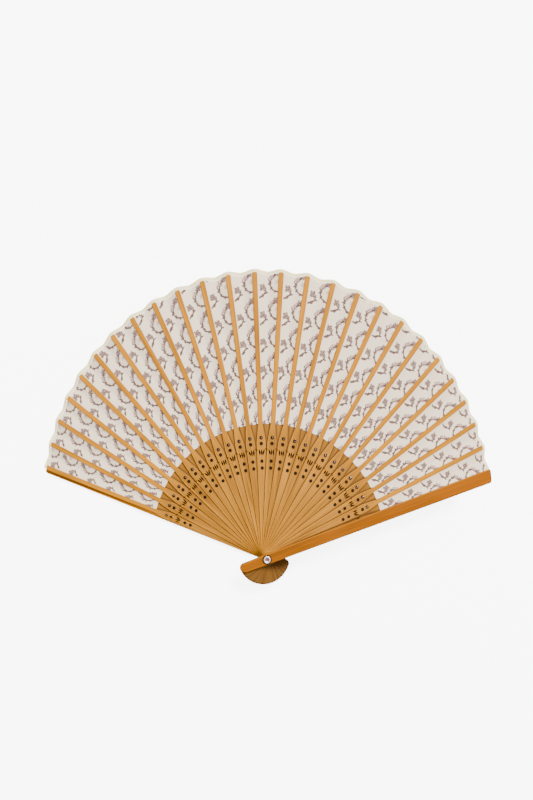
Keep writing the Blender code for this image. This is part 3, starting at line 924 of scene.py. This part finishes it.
def cloth_finish():
    """Printed cloth: lengthwise slubs and a fine weave under a vine print whose strokes and blossoms are laid
    out in millimetres from the strip on each side, once to a repeat."""
    settings = bpy.context.scene.fan_leaf
    finish = Finish("leaf_cloth", Roughness=0.9, Sheen_Weight=0.25, Sheen_Roughness=0.5)
    spread = left, radius = finish.uv("from_left")
    right, place = finish.uv("from_right")
    turn = finish.mark("turn")
    wander = (finish.noise(spread, WANDER_WAVES) - 0.5) * 0.9
    wander_across = (finish.noise((radius, left), WANDER_WAVES, layer=7.0) - 0.5) * 0.9
    knots = (finish.noise(spread, KNOT_WAVES, 1.0, layer=3.0) - 0.42) * 0.8
    lay = place - 0.9 + wander
    row_start = ROW_END - settings.repeat / MM
    row = finish.math("WRAP", lay, ROW_END, row_start)
    low_row = finish.math("WRAP", lay + LEFT_ROW_LEAD, ROW_END, row_start)
    inwards = 181.2 - radius
    p = left + inwards * 0.034 - turn * 1.9 + (wander_across - 0.5)
    r = right + inwards * 0.045 + turn * 1.3 + (wander_across + 1.25)
    centre, reach, width = RIGHT_ARC
    dark = arc_stroke(r, row, centre, reach, knots + width)
    for low, high, width in RIGHT_STROKES:
        dark = dark + segment(r, row, low, high, knots + width)
    for low, high, width in LEFT_STROKES:
        dark = dark + segment(p, low_row, low, high, knots + width) * left.step(2.0, 2.8)
    dark = dark + petals(r, row, *RIGHT_BUD)[0]
    full, from_full = petals(r, row, *RIGHT_BLOSSOM)
    fan, from_fan = petals(p, low_row, *LEFT_BLOSSOM)
    cut = away(p - 5.0, low_row + 0.7).step(0.7, 1.1)
    spark = away(p - 5.0, low_row + 0.9).step(0.8, 0.3)
    blot = away(r - 3.4, row + 0.9).step(1.9, 0.7)
    broken = finish.noise(spread, FLECK_WAVES, 2.0, 0.6).step(0.35, 0.58) * 0.5 + 0.5
    strength = finish.mark("front") * 0.55 + 0.45
    slub = finish.noise(spread, SLUB_WAVES, 3.0, 0.6)
    cloud = finish.noise(spread, CLOUD_WAVES)
    finish.colour = finish.mix(slub.step(0.4, 0.75) * 0.6, settings.cloth, lighter(settings.cloth, 1.12))
    finish.lay(cloud.step(0.5, 0.8) * 0.3, lighter(settings.cloth, 0.9))
    finish.lay(blot * strength * 0.5, settings.pale)
    finish.lay(spark * 0.7, settings.tape)
    finish.lay(petals(r, row, *PALE_BLOSSOM)[0] * broken * strength * 0.9, settings.pale)
    finish.lay(fan * cut * broken * strength, settings.blossom)
    finish.lay(full * broken * strength, settings.blossom)
    finish.lay(from_full.least(from_fan).step(0.7, 0.2) * strength * 0.4, settings.stem)
    finish.lay(dark.least(1.0) * strength * (broken * 0.4 + 0.6), settings.stem)
    thread = 2 * math.pi * MM / settings.thread
    weave = finish.math("SINE", left * thread) * finish.math("SINE", radius * thread)
    finish.relief(weave * 0.5 + slub, 0.03 * MM)
    return finish.painted()


def tape_finish():
    """Cream tape with fine ribs across it."""
    settings = bpy.context.scene.fan_leaf
    finish = Finish("binding_tape", Roughness=0.85, Sheen_Weight=0.2)
    place = finish.uv("along")
    rib = finish.math("SINE", place[0] * (2 * math.pi / 0.55) + finish.noise(place, (2.0, 2.0)) * 2.0)
    shade = finish.noise(place, (0.35, 0.5)).step(0.5, 0.8) * 0.4 + (rib + 1.0) * 0.08
    finish.colour = finish.mix(shade, settings.tape, lighter(settings.tape, 0.82))
    finish.relief(rib, 0.04 * MM)
    return finish.painted()


class FAN_OT_guards(bpy.types.Operator):
    """Shapes the two outer sticks and stains them"""

    bl_idname = "fan.guards"
    bl_label = "Guards"

    def execute(self, context):
        back = guard_finish("back_guard_bamboo", 0.45)
        front = guard_finish("front_guard_bamboo", 0.0)
        for node, body, finish, unit, *form in (
                ("back_guard", "held_side", back, BACK_GUARD_LAG_SHARE, BACK_GUARD_FOOT, -1, 3000.0),
                ("front_guard", "front_side", front, UNITS + GUARD_LAG_SHARE, FRONT_GUARD_FOOT, 1, 3060.0)):
            piece = add_guard(f"{node}_stick", front_angle(unit), *form)
            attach(piece, body)
            dress(piece, finish, node, "guard_bamboo")
        return {"FINISHED"}


def add_guard(name, angle, foot, side, shift):
    """An outer stick, wider towards its tip, rounded round its outer face, which is the top of the front
    guard (side 1). The inner face is cut back past the bend to make room for the leaf."""
    widening = (GUARD_TIP_WIDTH - GUARD_PIVOT_WIDTH) / 2 / GUARD_TIP
    butt = GUARD_PIVOT_WIDTH / 2 - widening * BUTT_LENGTH
    centre = butt - BUTT_LENGTH

    def half_width(radius):
        straight = np.where(radius < centre + MERGE, butt, GUARD_PIVOT_WIDTH / 2 + widening * radius)
        return rounded_end(straight, radius, GUARD_TIP, GUARD_CORNER)

    corner = GUARD_TIP - GUARD_CORNER * (1 - np.sin(np.radians([15, 30, 45, 60, 75, 90])))
    rows = np.unique(np.concatenate([np.linspace(GUARD_BORE_CELL, BEND_RADIUS, 24),
                                     np.linspace(BEND_RADIUS, GUARD_TIP - GUARD_CORNER, 22), corner]))
    points, quads = joined([*butt_blocks(butt, centre, GUARD_BORE_CELL, half_width),
                            plain_block(rows, half_width)])
    settings = bpy.context.scene.fan_bamboo
    bore = np.hypot(points[:, 0], points[:, 1]) < BORE_RADIUS + 10 * MERGE
    outer = np.where(bore, settings.hole_edge, settings.guard_edge)
    inner = np.where(bore, settings.hole_edge, settings.edge)
    cut = rise(points[:, 1])
    low = foot + cut * (side > 0)
    high = foot + GUARD_THICK - cut * (side < 0)
    edges = (inner, outer) if side > 0 else (outer, inner)
    verts, faces, flat = slab(points, quads, low, high, *edges, steps=4)
    return add_stick(name, angle, verts, faces, flat, half_width, shift)


def guard_finish(name, faded):
    """Stained bamboo with a painted highlight along its left edge, which is the front guard's upper edge;
    faded is the strips' share in its colour.
    """
    colours = bpy.context.scene.fan_bamboo
    stain = [level + (pale - level) * faded for level, pale in zip(colours.guard, colours.strip)]
    finish = bamboo(name, stain, stain, 0.42, 0.02, 1.5)[0]
    # Painted highlight along the stick's left edge
    painted_edge_highlight = finish.mark("to_edge").step(1.0, 0.4) * finish.mark("across").step(-1.0, -2.0)
    finish.lay(painted_edge_highlight * 0.4, colours.strip)
    return finish.painted()


class FAN_OT_rivet(bpy.types.Operator):
    """Turns the rivet with its rolled end and the two washers"""

    bl_idname = "fan.rivet"
    bl_label = "Rivet and washers"

    def execute(self, context):
        finish = metal_finish("rivet_metal", 0.0)
        tarnished = metal_finish("washer_metal", 0.85)
        pieces = [(add_turned("rivet_pin", rivet_profile()), finish, "rivet")]
        for node, foot in WASHER_FEET.items():
            pieces.append((add_turned(f"{node}_ring", washer_profile(foot)), tarnished, node))
        for piece, material, node in pieces:
            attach(piece, "held_side")
            dress(piece, material, node, "rivet_metal")
        return {"FINISHED"}


def rivet_profile():
    """Radius and height from the back head's centre round its rim, up the shaft, over the rolled ring (a half
    oval) and down into its hollow."""
    head = np.radians(np.linspace(-90, 0, 5))
    edge = 0.25 * MM
    back = paired(HEAD_RADIUS - edge + edge * np.cos(head), edge + edge * np.sin(head))
    roll = np.linspace(0, math.pi, 25)
    half = (HEAD_RADIUS - RECESS_RADIUS) / 2
    ring = paired(RECESS_RADIUS + half + half * np.cos(roll),
                  RING_BASE + RING_FOOT + (RING_HEIGHT - RING_FOOT) * np.sin(roll))
    floor = RING_BASE + RING_FOOT - RECESS_DEPTH
    stem = np.array([(HEAD_RADIUS, HEAD_THICK), (SHAFT_RADIUS, HEAD_THICK), (SHAFT_RADIUS, RING_BASE),
                     (HEAD_RADIUS, RING_BASE)])
    return np.concatenate([[(0, 0)], back, stem, ring, [(RECESS_RADIUS, floor), (0, floor)]])


def washer_profile(foot):
    """A flat ring with softened outer corners, closed on itself."""
    soft = 0.08 * MM
    top = foot + WASHER_THICK
    return np.array([(BORE_RADIUS, foot), (WASHER_RADIUS - soft, foot), (WASHER_RADIUS, foot + soft),
                     (WASHER_RADIUS, top - soft), (WASHER_RADIUS - soft, top), (BORE_RADIUS, top),
                     (BORE_RADIUS, foot)])


def add_turned(name, profile):
    """A profile of radius and height turned about the pivot: (radius cos a, radius sin a, height)."""
    turns = np.linspace(0, 2 * math.pi, TURNED_SIDES + 1)[:-1]
    radius, height = profile[:, :1], profile[:, 1:]
    verts = np.stack(np.broadcast_arrays(radius * np.cos(turns), radius * np.sin(turns), height), axis=-1)
    index = np.arange(len(profile) * TURNED_SIDES).reshape(len(profile), TURNED_SIDES)
    index[profile[:, 0] == 0] = index[profile[:, 0] == 0][:, :1]
    if (profile[0] == profile[-1]).all():
        index[-1] = index[0]
    index = np.concatenate([index, index[:, :1]], axis=1)
    used, quads = np.unique(cells(index), return_inverse=True)
    return add_piece(name, verts.reshape(-1, 3)[used], quads.reshape(-1, 4), sharp=math.radians(38))


def metal_finish(name, tarnish):
    """Bright plating, tarnished in the rivet's hollow and evenly on the washers, with faint marks and painted
    shade round the rim."""
    settings = bpy.context.scene.fan_metal
    finish = Finish(name, Metallic=1.0)
    place = finish.add("ShaderNodeTexCoord", {}, {}, "Object")
    x, y, z = (finish.add("ShaderNodeSeparateXYZ", {}, {0: place}, axis) for axis in range(3))
    radius = away(x, y)
    hollow = radius.step(1.95 * MM, 1.5 * MM) * z.step(33.0 * MM, 33.4 * MM)
    spots = finish.noise((x, y, z), (2500.0,) * 3, 3.0)
    finish.colour = finish.mix(hollow.most(tarnish), settings.bright, settings.dull)
    # Painted shade: a dark ring from 2.65 mm outwards, over the rivet's rim and the washers
    finish.lay(radius.step(2.65 * MM, 2.95 * MM), settings.rim)
    finish.feed("Roughness", spots.step(0.3, 0.8) * 0.15 + settings.roughness)
    finish.relief(spots, 0.01 * MM)
    return finish.painted()


class FAN_OT_stage(bpy.types.Operator):
    """Lays the floor and sets the light and the camera"""

    bl_idname = "fan.stage"
    bl_label = "Stage"

    def execute(self, context):
        settings = context.scene.fan_stage
        add_floor(settings)
        add_light(settings)
        add_camera()
        return {"FINISHED"}


def add_floor(settings):
    """A wide plain floor just under the fan that turns up far away into a wall: its height is the wall's
    times (radius over reach) to the power 10."""
    shares = np.concatenate([np.linspace(1, 0.6, 24), [0.3, 0]])
    floor = add_turned("floor", paired(FLOOR_REACH * shares, WALL_HEIGHT * shares ** 10 - FLOOR_GAP))
    finish = Finish("floor_paint", Roughness=0.9, Base_Color=opaque(settings.floor),
                    Emission_Color=opaque(settings.floor), Emission_Strength=settings.glow)
    floor.data.materials.append(finish.material)
    floor.visible_diffuse = floor.visible_glossy = floor.visible_shadow = False


def add_light(settings):
    """An even pale surround and a large soft lamp beyond the leaf."""
    world = bpy.data.worlds.new("surround")
    world.use_nodes = True
    surround = world.node_tree.nodes["Background"].inputs
    surround["Strength"].default_value = settings.sky_power
    surround["Color"].default_value = (1, 1, 1, 1)
    bpy.context.scene.world = world
    lamp = bpy.data.lights.new("key_lamp", "AREA")
    lamp.shape = "DISK"
    lamp.size = LAMP_SIZE
    lamp.energy = settings.key_power
    key = bpy.data.objects.new("key_lamp", lamp)
    key.location = LAMP_PLACE
    key.visible_camera = False
    x, y, z = np.subtract(LAMP_AIM, LAMP_PLACE)
    key.rotation_euler = (math.atan2(math.hypot(x, y), -z), 0, math.atan2(-x, y))
    bpy.context.scene.collection.objects.link(key)


def add_camera():
    """The photograph's view, close above the fan. The picture's centre of perspective lies well below its
    middle, which the shift gives."""
    data = bpy.data.cameras.new("camera")
    data.sensor_width = 36.0
    data.lens = CAMERA_LENS
    data.shift_y = CAMERA_SHIFT
    data.clip_start = 0.01
    camera = bpy.data.objects.new("camera", data)
    camera.location = CAMERA_PLACE
    camera.rotation_euler = CAMERA_TURN
    bpy.context.scene.collection.objects.link(camera)
    bpy.context.scene.camera = camera


class FAN_PT_panel(bpy.types.Panel):
    """Lists what the fan is made of"""

    bl_idname = "FAN_PT_panel"
    bl_label = "Bamboo hand fan"
    bl_space_type = "VIEW_3D"
    bl_region_type = "UI"
    bl_category = "Fan"

    def draw(self, context):
        for operator in OPERATORS:
            self.layout.operator(operator.bl_idname)
        for name, group in GROUPS.items():
            box = self.layout.box()
            for setting in group.__annotations__:
                box.prop(getattr(context.scene, name), setting)


OPERATORS = (FAN_OT_slips, FAN_OT_leaf, FAN_OT_guards, FAN_OT_rivet, FAN_OT_stage)
GROUPS = {"fan_bamboo": FanBamboo, "fan_leaf": FanLeaf, "fan_metal": FanMetal, "fan_stage": FanStage}


def register():
    for group in GROUPS.values():
        bpy.utils.register_class(group)
    for name, group in GROUPS.items():
        setattr(bpy.types.Scene, name, PointerProperty(type=group))
    for item in (*OPERATORS, FAN_PT_panel):
        bpy.utils.register_class(item)


def unregister():
    for item in (FAN_PT_panel, *reversed(OPERATORS)):
        bpy.utils.unregister_class(item)
    for name in GROUPS:
        delattr(bpy.types.Scene, name)
    for group in reversed(GROUPS.values()):
        bpy.utils.unregister_class(group)


def main():
    register()
    bpy.ops.fan.slips()
    bpy.ops.fan.leaf()
    bpy.ops.fan.guards()
    bpy.ops.fan.rivet()
    bpy.ops.fan.stage()


if __name__ == "__main__":
    main()
